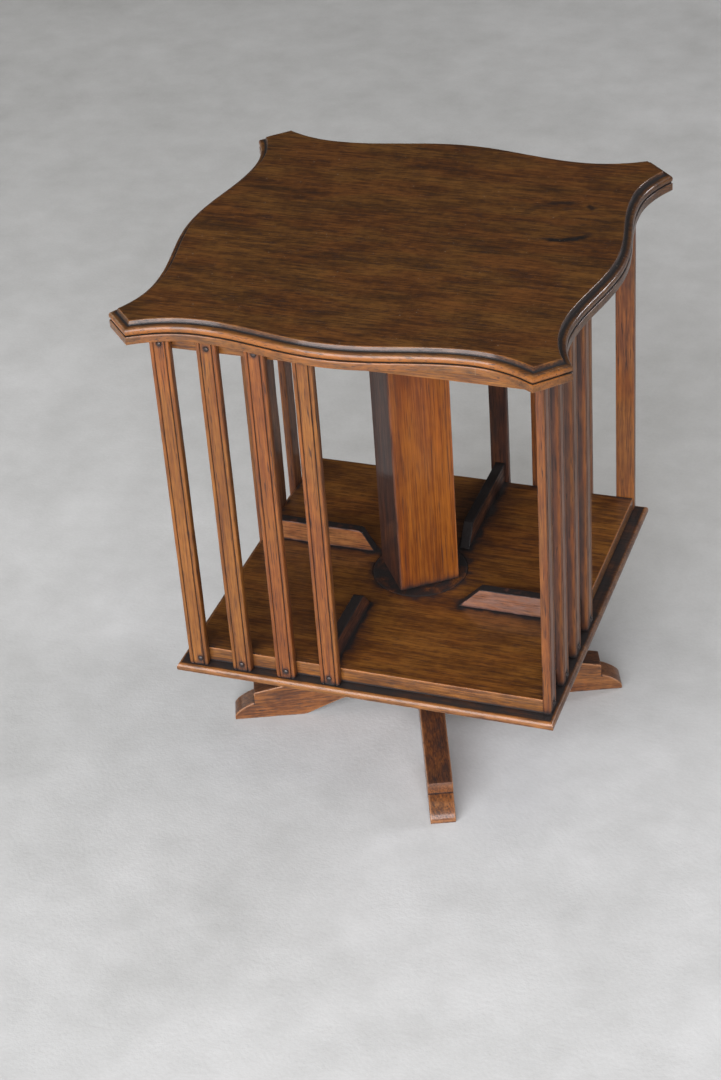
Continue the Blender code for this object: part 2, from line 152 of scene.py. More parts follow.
class Wires:
    """Adds nodes to a tree and joins them."""

    def __init__(self, tree):
        self.tree = tree

    def node(self, kind, inputs=(), **settings):
        """A shader node; its inputs are plain values or other nodes' outputs."""
        made = self.tree.nodes.new("ShaderNode" + kind)
        for key, value in settings.items():
            setattr(made, key, value)
        for key, value in dict(inputs).items():
            self.feed(made.inputs[key], value)
        return made

    def feed(self, socket, value):
        """Links an output to a socket, or sets the socket's own value."""
        if isinstance(value, bpy.types.NodeSocket):
            self.tree.links.new(value, socket)
        else:
            socket.default_value = value

    def math(self, operation, a, b=0.0, clamp=False):
        """One operation on two numbers."""
        return self.node("Math", {0: a, 1: b}, operation=operation, use_clamp=clamp).outputs[0]

    def vector(self, operation, a, b=(0.0, 0.0, 0.0)):
        """One operation on two vectors."""
        return self.node("VectorMath", {0: a, 1: b}, operation=operation).outputs[0]

    def weigh(self, *terms):
        """The sum of (value, centre, weight) terms, each as its distance from the centre."""
        total = 0.0
        for value, centre, weight in terms:
            part = self.math("MULTIPLY", self.math("SUBTRACT", value, centre), weight)
            total = self.math("ADD", part, total)
        return total

    def noise(self, place, stretch, detail=2.0, roughness=0.5):
        """Noise from 0 to 1, at so many waves a metre along each axis."""
        where = self.vector("MULTIPLY", place, stretch)
        inputs = {"Vector": where, "Scale": 1.0, "Detail": detail, "Roughness": roughness}
        return self.node("TexNoise", inputs).outputs

    def ease(self, value, low, high, out_low=0.0, out_high=1.0):
        """A smooth rise as the value goes from low to high."""
        inputs = {0: value, 1: low, 2: high, 3: out_low, 4: out_high}
        return self.node("MapRange", inputs, interpolation_type="SMOOTHSTEP").outputs[0]

    def mix(self, share, a, b, blend="MIX"):
        """Two colours mixed."""
        made = self.node("Mix", data_type="RGBA", blend_type=blend)
        for index, value in ((0, share), (6, a), (7, b)):
            self.feed(made.inputs[index], value)
        return made.outputs[2]

    def ramp(self, value, stops):
        """A colour read from (place, colour) stops."""
        made = self.node("ValToRGB", {0: value})
        elements = made.color_ramp.elements
        while len(elements) < len(stops):
            elements.new(0.5)
        for element, (place, colour) in zip(elements, stops):
            element.position = place
            element.color = (*colour, 1.0)
        return made.outputs[0]

    def read(self, name):
        """A value carried by the mesh's points."""
        return self.node("Attribute", attribute_name=name).outputs


def new_material(name):
    """A material, its wires and its Principled shader."""
    made = bpy.data.materials.new(name)
    made.use_nodes = True
    return made, Wires(made.node_tree), made.node_tree.nodes["Principled BSDF"]


def wire_surface(wires, shader, colour, rough, height, strength=1.0):
    """Feeds a shader its colour, its roughness and its bumps."""
    bump = wires.node("Bump", {"Strength": strength, "Distance": 1.0, "Height": height})
    wires.feed(shader.inputs["Base Color"], colour)
    wires.feed(shader.inputs["Roughness"], rough)
    wires.feed(shader.inputs["Normal"], bump.outputs[0])


# ---- oak ----

RING_WIDTH = 0.0030
PORE_COLOUR = (0.026, 0.009, 0.005)
# Near-black colour and tint for dirt and painted shade
GRIME_AND_SHADE_COLOUR = (0.0095, 0.0065, 0.0062)
GRIME_AND_SHADE_TINT = (0.34, 0.22, 0.26)
REDDENING = (1.0, 0.74, 0.78)
AMBER_GAIN = 1.35
OAK_ROUGHNESS = 0.42


def oak_figure():
    """The figure of oak, as one node group: its tone, pores, redness, grime with painted shade, worn
    parts and height.
    """
    tree = bpy.data.node_groups.new("oak_figure", "ShaderNodeTree")
    for name in ("Tone", "Pores", "Red", "GrimeAndShade", "Worn", "Height"):
        tree.interface.new_socket(name, in_out="OUTPUT", socket_type="NodeSocketFloat")
    wires = Wires(tree)
    plank = wires.read("grain")["Vector"]
    drift = wires.vector("SUBTRACT", wires.noise(plank, (3, 14, 14))["Color"], (0.5, 0.5, 0.5))
    place = wires.vector("ADD", plank, wires.vector("MULTIPLY", drift, (0, 0.006, 0.006)))

    section = wires.vector("MULTIPLY", place, (0, 1, 1))
    from_pith = wires.node("VectorMath", {0: section}, operation="LENGTH").outputs["Value"]
    uneven = wires.noise(place, (2, 50, 50))[0]
    count = wires.weigh((from_pith, 0.0, 1 / RING_WIDTH), (uneven, 0.5, 3.0))
    phase = wires.math("FRACT", count)
    early = wires.math("SUBTRACT", 1.0, wires.ease(phase, 0.05, 0.55))
    early = wires.math("ADD", early, wires.ease(phase, 0.90, 1.0), clamp=True)

    fibre = wires.noise(place, (42, 680, 680), 3.0, 0.65)[0]
    streak = wires.noise(place, (26, 260, 260), 3.0, 0.65)[0]
    patch = wires.noise(place, (20, 52, 52), 4.0, 0.62)[0]
    ray = wires.noise(place, (160, 90, 900), 1.0)[0]
    dashes = wires.noise(place, (90, 900, 900), 1.0, 0.4)[0]
    pores = wires.ease(dashes, 0.58, 0.70)
    pores = wires.math("MULTIPLY", pores, wires.weigh((early, -0.9, 0.62)), clamp=True)
    tone = wires.weigh(
        (streak, 0.5, 0.6), (patch, 0.5, 1.0), (fibre, 0.5, 1.3), (ray, 0.5, 0.3), (early, 0.4, -0.10)
    )
    tone = wires.math("ADD", tone, 0.5, clamp=True)

    blotch = wires.noise(place, (45, 130, 130), 3.0, 0.6)[0]
    # Dirt and painted shade from the points, made blotchy
    grime_and_shade = wires.weigh((wires.read("dirt_and_shade")["Fac"], 0.0, 1.0), (blotch, 0.5, 0.6))
    worn = wires.weigh((wires.read("wear")["Fac"], 0.0, 1.0), (blotch, 0.5, -1.0))
    red = wires.ease(wires.noise(place, (11, 28, 28), 3.0)[0], 0.42, 0.60)
    height = wires.weigh((pores, 0.0, -0.00010), (fibre, 0.5, 0.00005), (blotch, 0.5, 0.00012))
    out = tree.nodes.new("NodeGroupOutput")
    worn, grime_and_shade = wires.ease(worn, 0.25, 0.90), wires.ease(grime_and_shade, 0.02, 0.95)
    for socket, value in zip(out.inputs, (tone, pores, red, grime_and_shade, worn, height)):
        tree.links.new(value, socket)
    return tree


FIGURE = oak_figure()


def oak(name, figured, bare, coat, specular, contrast=1.0, pore_depth=0.6, redness=0.5):
    """Waxed oak: figured is its dark, middle and light colour, and bare is its colour where worn."""
    made, wires, shader = new_material(name)
    dark, middle, light = figured
    amber = tuple(AMBER_GAIN * part for part in light)
    figure = wires.node("Group", node_tree=FIGURE).outputs
    tone = wires.math("ADD", wires.weigh((figure["Tone"], 0.5, contrast)), 0.5)
    colour = wires.ramp(tone, ((0.08, dark), (0.42, middle), (0.66, light), (0.95, amber)))
    reddened = wires.mix(1.0, colour, (*REDDENING, 1), "MULTIPLY")
    colour = wires.mix(wires.math("MULTIPLY", figure["Red"], redness), colour, reddened)
    colour = wires.mix(wires.math("MULTIPLY", figure["Worn"], 0.85), colour, (*bare, 1))
    colour = wires.mix(wires.math("MULTIPLY", figure["Pores"], pore_depth), colour, (*PORE_COLOUR, 1))
    # Dirt and painted shade: tinted first, then near-black where strongest, and rougher
    darkened = wires.mix(1.0, colour, (*GRIME_AND_SHADE_TINT, 1), "MULTIPLY")
    colour = wires.mix(figure["GrimeAndShade"], colour, darkened)
    colour = wires.mix(wires.math("POWER", figure["GrimeAndShade"], 2.2), colour, (*GRIME_AND_SHADE_COLOUR, 1))
    rough = wires.weigh(
        (figure["Tone"], 0.5, -0.10), (figure["Pores"], 0.0, 0.15), (figure["GrimeAndShade"], 0.0, 0.34)
    )
    wire_surface(wires, shader, colour, wires.math("ADD", rough, OAK_ROUGHNESS), figure["Height"])
    shader.inputs["Specular IOR Level"].default_value = specular
    shader.inputs["Coat Weight"].default_value = coat
    shader.inputs["Coat Roughness"].default_value = 0.12
    return made


CUP_RING_CENTRE = (0.143, 0.064, 0.0)
CUP_RING_R = 0.040
# Each arc that shows in the ring: its middle and half its length in degrees, and its strength
CUP_RING_ARCS = ((-68, 32, 1.0), (60, 8, 0.85), (106, 22, 0.75), (150, 22, 0.4))


def add_cup_ring(material):
    """A dark broken ring that a wet cup left on the top, and a few small pale specks."""
    wires = Wires(material.node_tree)
    shader = material.node_tree.nodes["Principled BSDF"]
    link = shader.inputs["Base Color"].links[0]
    place = wires.node("TexCoord").outputs["Object"]
    from_cup = wires.vector("SUBTRACT", place, CUP_RING_CENTRE)
    flat = wires.vector("MULTIPLY", from_cup, (1, 1, 0))
    radius = wires.node("VectorMath", {0: flat}, operation="LENGTH").outputs["Value"]
    ragged = wires.noise(place, (160, 160, 0), 2.0)[0]
    off_line = wires.weigh((radius, CUP_RING_R, 1.0), (ragged, 0.5, 0.006))
    line = wires.ease(wires.math("ABSOLUTE", off_line), 0.0014, 0.0056, 1.0, 0.0)
    axes = wires.node("SeparateXYZ", {0: flat}).outputs
    angle = wires.math("ARCTAN2", axes[1], axes[0])
    arcs = 0.06
    for middle, half, strength in CUP_RING_ARCS:
        off_arc = wires.math("ABSOLUTE", wires.math("SUBTRACT", angle, radians(middle)))
        arc = wires.ease(off_arc, radians(half * 0.6), radians(half * 1.3), strength, 0.0)
        arcs = wires.math("MAXIMUM", arcs, arc)
    mark = wires.math("MULTIPLY", line, arcs)
    colour = wires.mix(mark, link.from_socket, (*GRIME_AND_SHADE_COLOUR, 1))
    specks = wires.ease(wires.noise(place, (380, 380, 0), 0.0)[0], 0.83, 0.87, 0.0, 0.45)
    colour = wires.mix(specks, colour, (0.30, 0.24, 0.18, 1))
    wires.feed(shader.inputs["Base Color"], colour)


# The oak of each slot of the record: its figured and bare colours, and what else sets it apart
OAKS = {
    "top_oak": (
        ((0.033, 0.0138, 0.0043), (0.069, 0.0265, 0.0060), (0.105, 0.0440, 0.0102)),
        (0.25, 0.082, 0.013),
        dict(contrast=1.4, redness=0.45, pore_depth=0.8, coat=0.4, specular=0.35),
    ),
    "board_oak": (
        ((0.044, 0.0140, 0.0029), (0.099, 0.0345, 0.0058), (0.158, 0.061, 0.0105)),
        (0.30, 0.112, 0.030),
        dict(contrast=1.2, redness=0.3, coat=0.35, specular=0.4),
    ),
    "slat_oak": (
        ((0.066, 0.0185, 0.0045), (0.130, 0.0430, 0.0080), (0.182, 0.067, 0.0125)),
        (0.27, 0.090, 0.024),
        dict(contrast=0.85, redness=0.6, pore_depth=0.9, coat=0.3, specular=0.3),
    ),
    "divider_oak": (
        ((0.075, 0.0260, 0.0070), (0.150, 0.0560, 0.0170), (0.215, 0.086, 0.0270)),
        (0.150, 0.090, 0.074),
        dict(contrast=1.3, coat=0.12, specular=0.3),
    ),
    "post_oak": (
        ((0.072, 0.0170, 0.0018), (0.130, 0.0325, 0.0030), (0.190, 0.056, 0.0060)),
        (0.28, 0.088, 0.020),
        dict(redness=0.4, coat=0.3, specular=0.35),
    ),
    "foot_oak": (
        ((0.044, 0.0135, 0.0038), (0.104, 0.0350, 0.0085), (0.162, 0.059, 0.0140)),
        (0.26, 0.110, 0.042),
        dict(contrast=1.3, redness=0.3, pore_depth=0.8, coat=0.35, specular=0.4),
    ),
}


# ---- metal and floor ----


def metal(name, colour, rust, metallic, roughness):
    """Old metal with stained patches and small pits."""
    made, wires, shader = new_material(name)
    place = wires.node("TexCoord").outputs["Object"]
    darkening = wires.ease(wires.noise(place, (170, 170, 170), 4.0, 0.65)[0], 0.46, 0.68)
    pits = wires.noise(place, (1500, 1500, 1500), 2.0)[0]
    colour = wires.mix(darkening, (*colour, 1), (*rust, 1))
    rough = wires.weigh((darkening, 0.0, 0.25), (pits, 0.5, 0.2))
    height = wires.weigh((pits, 0.5, 0.00006), (darkening, 0.0, 0.00004))
    wire_surface(wires, shader, colour, wires.math("ADD", rough, roughness), height)
    shader.inputs["Metallic"].default_value = metallic
    return made


def add_floor():
    """A plain pale floor with a faint mottle."""
    made, wires, shader = new_material("floor_concrete")
    place = wires.node("TexCoord").outputs["Object"]
    cloud = wires.noise(place, (3.0, 3.0, 3.0), 5.0, 0.65)[0]
    mottle = wires.noise(place, (16, 16, 16), 4.0, 0.6)[0]
    grit = wires.noise(place, (260, 260, 260), 2.0, 0.6)[0]
    tone = wires.weigh((cloud, 0.5, 1.3), (mottle, 0.5, 0.9), (grit, 0.5, 0.35))
    tone = wires.math("ADD", tone, 0.5, clamp=True)
    colour = wires.ramp(tone, ((0.0, (0.44, 0.443, 0.436)), (1.0, (0.62, 0.623, 0.622))))
    height = wires.weigh((mottle, 0.5, 0.0010), (grit, 0.5, 0.0003))
    wire_surface(wires, shader, colour, 0.75, height, strength=0.6)
    shader.inputs["Specular IOR Level"].default_value = 0.2
    half = 14.0
    mesh = bpy.data.meshes.new("floor")
    corners = [(-half, -half, 0), (half, -half, 0), (half, half, 0), (-half, half, 0)]
    mesh.from_pydata(corners, [], [(0, 1, 2, 3)])
    mesh.materials.append(made)
    floor = bpy.data.objects.new("floor", mesh)
    bpy.context.scene.collection.objects.link(floor)


# ---- shells and pieces ----

LENGTHWAYS = (1, 0, 0)
ACROSS = (0, 1, 0)
UPRIGHT = (0, 0, 1)
PLANK_STEP = 0.73
SHARP_ANGLE = radians(40)


def levels(values, shape):
    """A number, or one for each ring, or one for each point, spread over all the points."""
    values = np.asarray(values, float)
    if values.ndim == 1:
        values = values[:, None]
    return np.broadcast_to(values, shape).reshape(-1).copy()


class Shell:
    """One closed surface: rings of equally many points, joined one after another."""

    def __init__(self, rings, dirt_and_shade=0.0, wear=0.0, closed=False):
        rings = np.asarray(rings, float)
        shape = rings.shape[:2]
        self.points = rings.reshape(-1, 3)
        self.dirt_and_shade = levels(dirt_and_shade, shape)
        self.wear = levels(wear, shape)
        self.faces = self.join(*shape, closed)

    @staticmethod
    def join(count, around, closed):
        """Quads between the rings, and a cap on each end of an open stack."""
        here = np.arange(around)
        there = np.roll(here, -1)
        pairs = [(a, a + 1) for a in range(count - 1)] + ([(count - 1, 0)] if closed else [])
        faces = []
        for a, b in pairs:
            low, high = a * around, b * around
            faces += np.stack([low + here, low + there, high + there, high + here], 1).tolist()
        if not closed:
            faces += [here.tolist(), ((count - 1) * around + here).tolist()]
        return faces


def stack(rows, closed=False):
    """A shell from (ring, dirt, wear) rows."""
    return Shell(*zip(*rows), closed=closed)


def plank(points, along, across, pith, seed, stretch=1.0):
    """Each point's place in its plank; pith is how far off the middle of the tree is."""
    axes = np.array([along, across, np.cross(along, across)], float)
    axes[0] /= stretch
    return points @ axes.T + np.array([PLANK_STEP * seed, *pith])


def set_value(mesh, name, kind, field, values):
    """Stores a value on each point of a mesh."""
    made = mesh.attributes.new(name, kind, "POINT")
    made.data.foreach_set(field, np.asarray(values, np.float32).reshape(-1))


def add_piece(name, shells, finish, body, nodes, grain=None):
    """A finished piece of one or more shells, which rides on a body and stands for CAD nodes."""
    points, faces = [], []
    for shell in shells:
        start = sum(map(len, points))
        points.append(shell.points)
        faces += [[start + i for i in face] for face in shell.faces]
    points = np.concatenate(points)
    mesh = bpy.data.meshes.new(name)
    mesh.from_pydata(points.tolist(), [], faces)
    bm = bmesh.new()
    bm.from_mesh(mesh)
    bmesh.ops.recalc_face_normals(bm, faces=bm.faces)
    bm.to_mesh(mesh)
    bm.free()
    set_value(mesh, "grain", "FLOAT_VECTOR", "vector", points if grain is None else grain)
    set_value(mesh, "dirt_and_shade", "FLOAT", "value", np.concatenate([s.dirt_and_shade for s in shells]))
    set_value(mesh, "wear", "FLOAT", "value", np.concatenate([s.wear for s in shells]))
    mesh.shade_smooth()
    mesh.set_sharp_from_angle(angle=SHARP_ANGLE)
    slot, material = finish
    mesh.materials.append(material)
    made = bpy.data.objects.new(name, mesh)
    bpy.context.scene.collection.objects.link(made)
    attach(made, body)
    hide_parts(*nodes)


def waver(points, size, amount, seed=0.0):
    """A smooth random number for each point, up to about the amount either way."""
    return np.array([noise.noise(Vector(p) / size + Vector((seed,) * 3)) for p in points]) * amount


def turned_about_z(points, angle):
    """Points turned about Z."""
    turn = np.array([[cos(angle), -sin(angle), 0], [sin(angle), cos(angle), 0], [0, 0, 1]])
    return points @ turn.T


def lifted(outline, z):
    """Points (x, y) at one level."""
    return np.column_stack([outline, np.full(len(outline), z)])


def circle(radius, count):
    """Points round the origin."""
    angles = 2 * pi * np.arange(count) / count
    return radius * np.stack([np.cos(angles), np.sin(angles)], 1)


def four_sides(side):
    """One side's outline, repeated at each quarter turn."""
    return np.concatenate([turned_about_z(lifted(side, 0.0), QUARTER * i) for i in range(4)])[:, :2]


def square(half, steps):
    """A square outline of 4 * steps points, from the corner at -X, -Y."""
    along = np.linspace(-half, half, steps, endpoint=False)
    return four_sides(np.stack([along, np.full(steps, -half)], 1))


# Painted shade on each side of the case, darkest on the right where least light falls, and how much
# wear it takes away
SIDE_PAINTED_SHADE = {"front": 0.0, "right": 0.36, "back": 0.20, "left": 0.10}
WEAR_LOST_TO_PAINTED_SHADE = 2.2


def side_painted_shade(points):
    """Painted shade on each point from the side of the case it faces; the corners are left without it.
    """
    x, y = points[:, 0], points[:, 1]
    across = np.where(x > 0, SIDE_PAINTED_SHADE["right"], SIDE_PAINTED_SHADE["left"])
    along = np.where(y > 0, SIDE_PAINTED_SHADE["back"], SIDE_PAINTED_SHADE["front"])
    lead = np.abs(x) - np.abs(y)
    return np.where(lead > 0, across, along) * np.clip((np.abs(lead) - 0.006) / 0.03, 0, 1)


# ---- the top ----

# The moulding in millimetres: distance out from the arris, depth, dirt and painted shade (darkest in
# the quirks), wear
TOP_MOULDING = [
    (-2.6, 0, 0, 0.1), (-1.3, 0.03, 0, 0.15), (-0.6, 0.14, 0, 0.35), (-0.15, 0.36, 0, 0.6),
    (0.1, 0.75, 0.1, 0.2), (0.3, 1.3, 0.3, 0), (0.55, 2.0, 0.45, 0), (0.85, 2.7, 0.5, 0),
    (1.1, 3.2, 0.6, 0), (1.2, 3.55, 0.8, 0), (1.15, 3.85, 1, 0), (1.3, 4.15, 1, 0),
    (1.8, 4.35, 1, 0), (2.7, 4.45, 0.85, 0), (3.5, 4.52, 0.4, 0.1),
]
BEAD_CENTRE = (4.95, 8.55)
BEAD_RADII = (2.95, 3.85)
FASCIA_MOULDING = [
    (5.6, 12.2, 1, 0), (5.3, 12.4, 1, 0), (5.9, 12.55, 1, 0), (7.0, 12.65, 0.7, 0),
    (7.6, 12.9, 0.1, 0.65), (7.9, 13.35, 0, 0.65), (8.0, 14.0, 0, 0.55), (8.0, 15.4, 0, 0.5),
    (8.0, 17, 0, 0.5), (8.0, 18.4, 0, 0.5), (8.0, 19.5, 0, 0.55), (7.9, 20.25, 0, 0.6),
    (7.6, 20.75, 0, 0.6), (7.0, 21, 0.1, 0.2), (5.4, 21, 0.1, 0), (2, 21, 0.1, 0),
]


def bow(along):
    """Distance of the top's arris from the middle plane, at a place along one side."""
    across = abs(along)
    if across <= BOW_HOLLOW_AT:
        middle = (BOW_CREST + BOW_HOLLOW) / 2
        swing = (BOW_CREST - BOW_HOLLOW) / 2
        return middle + swing * cos(pi * across / BOW_HOLLOW_AT)
    run = CANT_START - BOW_HOLLOW_AT
    rise = TOP_HALF - BOW_HOLLOW
    radius = (run**2 + rise**2) / (2 * rise)
    return BOW_HOLLOW + radius - sqrt(radius**2 - (across - BOW_HOLLOW_AT) ** 2)


def top_outline(side_steps=96, cant_steps=8):
    """The top's arris: four serpentine sides between cut corners."""
    side = [(s, -bow(s)) for s in np.linspace(-CANT_START, CANT_START, side_steps + 1)]
    shares = np.arange(1, cant_steps) / cant_steps
    cut = TOP_HALF - CANT_START
    cant = [(CANT_START + t * cut, -TOP_HALF + t * cut) for t in shares]
    return four_sides(np.array(side + cant))


def offset(outline, distance):
    """The outline moved outwards, mitred at its corners."""
    into = outline - np.roll(outline, 1, 0)
    out = np.roll(outline, -1, 0) - outline
    normals = []
    for run in (into, out):
        run = run / np.linalg.norm(run, axis=1)[:, None]
        normals.append(np.stack([run[:, 1], -run[:, 0]], 1))
    mitre = (normals[0] + normals[1]) / (1 + (normals[0] * normals[1]).sum(1))[:, None]
    return outline + mitre * distance


def top_profile():
    """The whole moulding, with its bead worked out as an arc."""
    bead = []
    for angle in np.linspace(-1.30, 1.15, 15):
        out = BEAD_CENTRE[0] + BEAD_RADII[0] * cos(angle)
        depth = BEAD_CENTRE[1] + BEAD_RADII[1] * sin(angle)
        bead.append((out, depth, 0.0, 0.35 + 0.45 * cos(angle - 0.1) ** 2))
    return TOP_MOULDING + bead + FASCIA_MOULDING


def table_top(finish):
    """The moulded serpentine top."""
    outline = top_outline()
    rows = []
    inner = offset(outline, TOP_MOULDING[0][0] * MM)
    for share in [*np.linspace(0.02, 0.95, 32), 0.965, 0.98, 0.99]:
        rows.append((lifted(inner * share, TOP_HIGH), 0.0, 0.15 * max(0.0, 1 - (1 - share) / 0.06)))
    for out, depth, dirt_and_shade, wear in top_profile():
        rows.append((lifted(offset(outline, out * MM), TOP_HIGH - depth * MM), dirt_and_shade, wear))
    under = offset(outline, FASCIA_MOULDING[-1][0] * MM)
    for share in (0.98, 0.94, 0.8, 0.6, 0.4, 0.2, 0.02):
        rows.append((lifted(under * share, TOP_LOW), 0.1, 0.0))
    shell = stack(rows)
    # The painted shade of each side darkens the moulding below the top face and takes away its wear.
    darkening = side_painted_shade(shell.points)
    edge = shell.points[:, 2] < TOP_HIGH - 0.0001
    shell.dirt_and_shade += 0.8 * darkening * (shell.points[:, 2] < TOP_HIGH - 0.0006)
    shell.wear *= np.where(edge, np.clip(1 - WEAR_LOST_TO_PAINTED_SHADE * darkening, 0.15, 1), 1)
    plan = shell.points[:, :2] + np.stack([waver(shell.points, 0.035, 0.00025, s) for s in (3, 8)], 1)
    low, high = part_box("table_top")
    shell.points[:, :2] = np.clip(plan, low[:2], high[:2])
    grain = plank(shell.points, LENGTHWAYS, ACROSS, (0.11, 0.30), 1)
    add_piece("oak_top", [shell], finish, "case", ["table_top"], grain)


# ---- boards ----


def board_shell(half, low, edge, hole_r, steps=128, rings_out=44):
    """A square board: edge is (out, up, dirt, wear) in millimetres from its lower rim to its upper."""
    turn = -3 * pi / 4
    hole = turned_about_z(lifted(circle(hole_r, 4 * steps), 0.0), turn)[:, :2]
    rows = []
    last_out, last_up = edge[-1][0] * MM, edge[-1][1] * MM
    rim = square(half + last_out, steps)
    shares = 1 - np.linspace(0, 1, rings_out) ** 1.15
    for share in shares[::-1][:-1]:
        rows.append((lifted(hole + (rim - hole) * share, low + last_up), 0.0, 0.0))
    for out, up, dirt_and_shade, wear in edge[::-1]:
        rows.append((lifted(square(half + out * MM, steps), low + up * MM), dirt_and_shade, wear))
    first = square(half + edge[0][0] * MM, steps)
    for share in (0.97, 0.9, 0.7, 0.4, 0.1, 0.0):
        rows.append((lifted(hole + (first - hole) * share, low), 0.15, 0.0))
    return stack(rows, closed=True)


def near_box(points, low, high):
    """Distance in plan from each point to an upright box."""
    plan = points[:, :2]
    gap = np.maximum(np.maximum(np.array(low)[:2] - plan, plan - np.array(high)[:2]), 0)
    return np.hypot(gap[:, 0], gap[:, 1])


def grime_and_shade_beside(gap):
    """Dirt and painted shade beside something: black against it, then a wide darkening that fades out.
    """
    gap = np.maximum(gap, 0)
    return np.maximum(1.1 * np.exp(-gap / 0.0050), 0.54 * np.exp(-((gap / 0.017) ** 1.5)))


HOLE_EDGE_R = 0.051


def shelf_grime_and_shade(points):
    """How dark the shelf is: a little dirt all over, and dirt and painted shade beside the dividers,
    round the post and along the slats.
    """
    ragged = waver(points, 0.014, 0.006, 5.0) + waver(points, 0.004, 0.0015, 9.0)
    from_hole = np.hypot(points[:, 0], points[:, 1]) - HOLE_EDGE_R
    total = 0.10 + 0.60 * grime_and_shade_beside(from_hole + 1.6 * ragged)
    for side in SIDES:
        far = near_box(points, *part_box(f"divider_{side}")) + ragged
        total = np.maximum(total, grime_and_shade_beside(far * (0.55 if side == "back" else 1.0)))
        for index in range(SLATS_PER_SIDE):
            far = near_box(points, *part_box(f"slat_{side}_{index + 1}"))
            total = np.maximum(total, 0.8 * grime_and_shade_beside(far + ragged))
    return np.clip(total, 0, 1.1)


def shelf_board(finish):
    """The shelf, with the dirt and painted shade against what stands on it."""
    thick = (SHELF_TOP - SHELF_LOW) / MM
    edge = [(-0.5, 0, 0.3, 0), (0, 0.5, 1.0, 0), (0, 1.6, 0.8, 0), (0, 3.0, 0.2, 0.3)]
    edge += [(0, thick / 2, 0, 0.35), (0, thick - 2.5, 0, 0.35)]
    edge += [(0, thick - 1.6, 0, 0.4), (0, thick - 0.8, 0, 0.6), (-0.2, thick - 0.3, 0, 0.8)]
    edge += [(-0.7, thick - 0.06, 0, 0.6), (-1.4, thick, 0, 0.2)]
    shell = board_shell(BOARD_HALF, SHELF_LOW, edge, HOLE_R)
    radius = np.hypot(shell.points[:, 0], shell.points[:, 1])
    rim = radius < HOLE_R + 0.0001
    shell.points[rim, :2] *= (1 - np.abs(waver(shell.points[rim], 0.003, 0.009, 4.0)))[:, None]
    above = shell.points[:, 2] > SHELF_TOP - 0.0001
    shell.dirt_and_shade[above] = np.maximum(shell.dirt_and_shade, shelf_grime_and_shade(shell.points))[above]
    grain = plank(shell.points, LENGTHWAYS, ACROSS, (0.06, 0.21), 2, 1.2)
    add_piece("oak_shelf", [shell], finish, "case", ["shelf_board"], grain)


def base_board(finish):
    """The thin board below the shelf, whose blackened ledge stands out past the slats."""
    edge = [(-1.2, 0, 0.2, 0), (-0.4, 0.25, 0.1, 0.2), (0, 1.2, 0, 0.3), (0, 3.4, 0, 0.45)]
    edge += [(-0.15, 4.6, 0, 0.5), (-0.6, 5.8, 0, 0.55), (-1.3, 6.8, 0, 0.6), (-2.2, 7.5, 0, 0.55)]
    edge += [(-3.2, 7.88, 0.1, 0.5), (-4.3, 8, 0.5, 0.1), (-5.6, 8, 0.8, 0), (-7.5, 8, 0.9, 0)]
    shell = board_shell(BASE_HALF, BASE_LOW, edge, HOLE_R)
    above = shell.points[:, 2] > BASE_TOP - 0.00005
    ragged = waver(shell.points, 0.02, 0.35, 2.0)
    shell.dirt_and_shade[above] = np.clip(np.maximum(shell.dirt_and_shade, 0.80) + ragged, 0, 1.1)[above]
    # The painted shade of each side darkens the edges and underside and takes away their wear.
    darkening = side_painted_shade(shell.points)
    shell.dirt_and_shade[~above] += darkening[~above]
    shell.wear *= np.clip(1 - WEAR_LOST_TO_PAINTED_SHADE * darkening, 0.2, 1)
    grain = plank(shell.points, LENGTHWAYS, ACROSS, (0.09, 0.26), 3)
    add_piece("oak_base", [shell], finish, "case", ["base_board"], grain)


def sub_top(finish):
    """The board that the slats are nailed to, below the top."""
    thick = (SUB_TOP_HIGH - SUB_TOP_LOW) / MM
    edge = [(-1.2, 0, 0, 0.2), (-0.3, 0.3, 0, 0.5), (0, 1.1, 0, 0.4), (0, thick / 2, 0, 0)]
    edge += [(0, thick - 0.6, 0.3, 0), (-0.6, thick, 0.6, 0)]
    shell = board_shell(BOARD_HALF, SUB_TOP_LOW, edge, PIN_HOLE_R, 96, 12)
    grain = plank(shell.points, LENGTHWAYS, ACROSS, (0.12, 0.24), 4)
    add_piece("oak_sub_top", [shell], finish, "case", ["sub_top"], grain)


# ---- lofted bars ----


def edge_places(length, inner):
    """Places along one edge of a section, close together by its corners."""
    near = [min(d * MM, length * s) for d, s in ((0.9, 0.12), (2.4, 0.24), (5.0, 0.36))]
    middle = np.linspace(near[-1], length - near[-1], inner + 2)[1:-1]
    return np.concatenate([[0.0], near, middle, length - np.array(near[::-1]), [length]])


CORNER_WEAR = (1.0, 0.45, 0.12, 0.0)


def section(width, height, corner, inner=(2, 2), corner_steps=3):
    """A rounded rectangle round the origin, with the wear of each of its points."""
    points, wear = [], []
    halves = (width / 2 - corner, height / 2 - corner)
    for quarter, (run, steps) in enumerate(((height, inner[1]), (width, inner[0])) * 2):
        angle = QUARTER * quarter
        out, up = (cos(angle), sin(angle)), (-sin(angle), cos(angle))
        reach = (width, height)[quarter % 2] / 2
        places = edge_places(run - 2 * corner, steps)
        edge_wear = np.zeros(len(places))
        edge_wear[: len(CORNER_WEAR)] = CORNER_WEAR
        edge_wear[-len(CORNER_WEAR) :] = CORNER_WEAR[::-1]
        for place, worn in zip(places - (run / 2 - corner), edge_wear):
            points.append((out[0] * reach + up[0] * place, out[1] * reach + up[1] * place))
            wear.append(worn)
        centre = (halves[0] * np.sign(out[0] + up[0]), halves[1] * np.sign(out[1] + up[1]))
        for step in range(1, corner_steps):
            turn = angle + QUARTER * step / corner_steps
            points.append((centre[0] + corner * cos(turn), centre[1] + corner * sin(turn)))
            wear.append(1.0)
    return np.array(points), np.array(wear)


